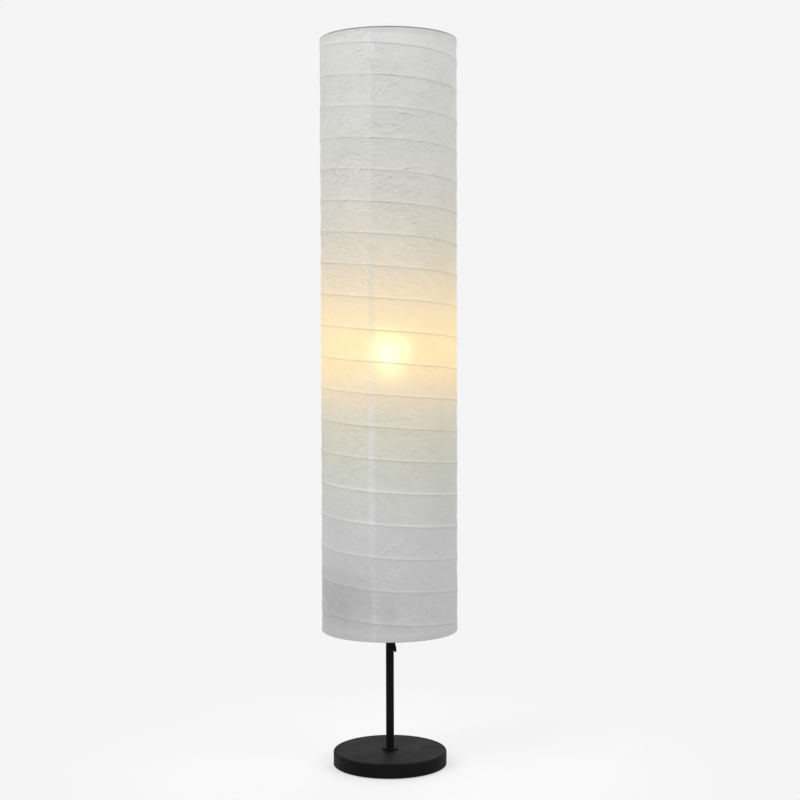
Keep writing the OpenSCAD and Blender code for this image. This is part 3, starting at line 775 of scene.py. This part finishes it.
def coated(name, dark, pale, rough, grain, depth, specular, metallic):
    """A plain finish with fine grain: colour between two tones, roughness and bump from the same noises."""
    s = Shader(name)
    at = s.where()
    clouds = s.noise(at, scale=BLOTCH, detail=4.0, rough=0.6)
    fine = s.noise(at, scale=grain, detail=2.0, rough=0.6)
    tone = s.spread(s.weighted(clouds, CLOUD_SHARE, fine, GRAIN_SHARE), *NOISE_SPAN, 0.0, 1.0)
    s.surface(
        Base_Color=s.mix(tone, dark, pale),
        Roughness=s.spread(clouds, *NOISE_SPAN, *rough),
        Metallic=metallic,
        Specular_IOR_Level=specular,
        Normal=s.bump(fine, depth),
    )
    return s.material


# name: dark tone, pale tone, roughness from and to, grain, its depth, specular, metallic, CAD nodes
FINISHES = {
    "black_powder_coat": (
        (0.0028, 0.0028, 0.0029), (0.0058, 0.0058, 0.0060), (0.55, 0.68), 1400.0, 0.00005, 0.07, 0.0,
        "base_cover base_plate stem_collar stem_lower stem_upper stop_rivets harp_yoke harp top_spider "
        "finial bottom_spider sliding_eye",
    ),
    "cast_iron": (
        (0.05, 0.05, 0.052), (0.11, 0.105, 0.10), (0.6, 0.85), 500.0, 0.0002, 0.5, 0.6,
        "base_weight",
    ),
    "zinc_plate": (
        (0.42, 0.43, 0.45), (0.62, 0.63, 0.64), (0.28, 0.45), 900.0, 0.00003, 0.5, 1.0,
        "plate_screws base_washer lock_nut",
    ),
    "rubber": (
        (0.010, 0.010, 0.010), (0.022, 0.021, 0.020), (0.75, 0.9), 1100.0, 0.00006, 0.35, 0.0,
        "feet cord_bushing",
    ),
    "brass": (
        (0.55, 0.38, 0.14), (0.72, 0.54, 0.24), (0.25, 0.42), 700.0, 0.00003, 0.5, 1.0,
        "base_nipple stem_joiner upper_nipple screw_shell",
    ),
    "black_plastic": (
        (0.008, 0.008, 0.009), (0.016, 0.016, 0.017), (0.38, 0.5), 1600.0, 0.00003, 0.4, 0.0,
        "holder_cap holder_body clamp_ring",
    ),
    "lead_sheath": (
        (0.010, 0.010, 0.011), (0.02, 0.02, 0.021), (0.5, 0.65), 900.0, 0.00005, 0.4, 0.0,
        "lead",
    ),
    "porcelain": (
        (0.68, 0.66, 0.60), (0.78, 0.76, 0.70), (0.15, 0.28), 400.0, 0.00003, 0.5, 0.0,
        "holder_insert",
    ),
    "nickel": (
        (0.52, 0.52, 0.50), (0.68, 0.67, 0.64), (0.2, 0.34), 900.0, 0.00002, 0.5, 1.0,
        "bulb_cap",
    ),
    "wire_steel": (
        (0.16, 0.16, 0.165), (0.30, 0.30, 0.30), (0.35, 0.5), 900.0, 0.00003, 0.5, 0.9,
        "top_ring bottom_ring",
    ),
}
finished = {}
for finish, (*looks, names) in FINISHES.items():
    finished[finish] = coated(finish, *looks)
    for node_name in names.split():
        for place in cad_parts[node_name].material_slots:
            place.material = finished[finish]
for rib in (rib_upper, rib_lower):
    rib.data.materials.append(finished["wire_steel"])

# ---------------------------------------------------------------- bodies and replaced nodes
for piece, body, slot, nodes in (
    (paper_upper, "stand", "paper", ("paper_upper", "top_hem")),
    (paper_lower, "stand", "paper", ("paper_lower",)),
    (bottom_hem, "shade_foot", "paper", ("bottom_hem",)),
    (rib_upper, "stand", "steel_wire", ("rib_upper",)),
    (rib_lower, "stand", "steel_wire", ("rib_lower",)),
    (bulb_core, "stand", "bulb_glass", ()),
):
    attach(piece, body)
    if nodes:
        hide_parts(*nodes)

for piece in (paper_lower, rib_lower):
    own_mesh(piece)

# ---------------------------------------------------------------- camera
CAMERA_AT = (0.01747, -2.42385, 0.68339)
CAMERA_TILT = -0.03722
CAMERA_ROLL = -0.00238
LENS_MM = 67.55
SENSOR_MM = 36.0

camera_data = bpy.data.cameras.new("camera")
camera_data.lens = LENS_MM
camera_data.sensor_width = SENSOR_MM
camera = bpy.data.objects.new("camera", camera_data)
camera.location = CAMERA_AT
turned = Matrix.Rotation(math.pi / 2 + CAMERA_TILT, 3, "X") @ Matrix.Rotation(CAMERA_ROLL, 3, "Z")
camera.rotation_euler = turned.to_euler()
bpy.context.scene.collection.objects.link(camera)
bpy.context.scene.camera = camera


# ---------------------------------------------------------------- floor, backdrop and light
BACKGROUND = 0.913
SKY_LIGHT = 0.79
FLOOR_HALF = 8.0
FLOOR_GREY = (0.60, 0.60, 0.60)
FLOOR_SEEN = ((0.825, 0.825, 0.825), (0.845, 0.845, 0.845))
SHADOW_FROM, SHADOW_TO = 0.12, 0.55
SHADOW_KEPT = 0.45


def floor_material():
    """Looks like the pale background with a soft shadow near the lamp, and lights the lamp as a mid grey."""
    s = Shader("floor")
    seen = s.seen_as_background()
    x, y, _ = s.split(s.where())
    out = s.math("SQRT", s.math("MULTIPLY_ADD", x, x, s.times(y, y)))
    near = s.spread(out, SHADOW_FROM, SHADOW_TO, 1.0, 0.0)
    grain = s.noise(s.where(), scale=400.0, detail=2.0)
    pale = s.mix(grain, *FLOOR_SEEN)
    body = s.node("ShaderNodeBsdfDiffuse", {"Color": s.mix(seen, FLOOR_GREY, pale)})
    plain = s.node("ShaderNodeEmission", {"Color": (BACKGROUND,) * 3, "Strength": 1.0})
    s.show_mixed(s.times(seen, s.math("MULTIPLY_ADD", near, -SHADOW_KEPT, 1.0)), body, plain)
    return s.material


floor_corners = [(x * FLOOR_HALF, y * FLOOR_HALF, 0) for x, y in ((-1, -1), (1, -1), (1, 1), (-1, 1))]
floor = make_mesh("floor", np.array(floor_corners, float), [[0, 1, 2, 3]])
floor.data.materials.append(floor_material())

world = bpy.data.worlds.new("world")
bpy.context.scene.world = world
world.use_nodes = True
backdrop = Nodes(world.node_tree, "ShaderNodeOutputWorld")
sky, plain = (
    backdrop.node("ShaderNodeBackground", {"Color": (1, 1, 1), "Strength": strength})
    for strength in (SKY_LIGHT, BACKGROUND)
)
backdrop.show_mixed(backdrop.seen_as_background(), sky, plain)

# name, place, where it points, width and height, watts
for name, place, target, size, power in (
    ("key", (-2.2, -1.8, 2.6), (0, 0, 0.8), (1.8, 1.8), 54.0),
    ("fill", (2.2, -1.4, 1.9), (0, 0, 0.75), (1.4, 1.8), 27.0),
    ("back", (0.6, 2.2, 2.4), (0, 0, 0.8), (1.6, 1.6), 22.0),
):
    light = bpy.data.lights.new(name, "AREA")
    light.shape = "RECTANGLE"
    light.size, light.size_y = size
    light.energy = power
    lamp = bpy.data.objects.new(name, light)
    lamp.location = place
    lamp.rotation_euler = (Vector(target) - Vector(place)).to_track_quat("-Z", "Y").to_euler()
    bpy.context.scene.collection.objects.link(lamp)

bpy.context.scene.view_settings.view_transform = "Standard"
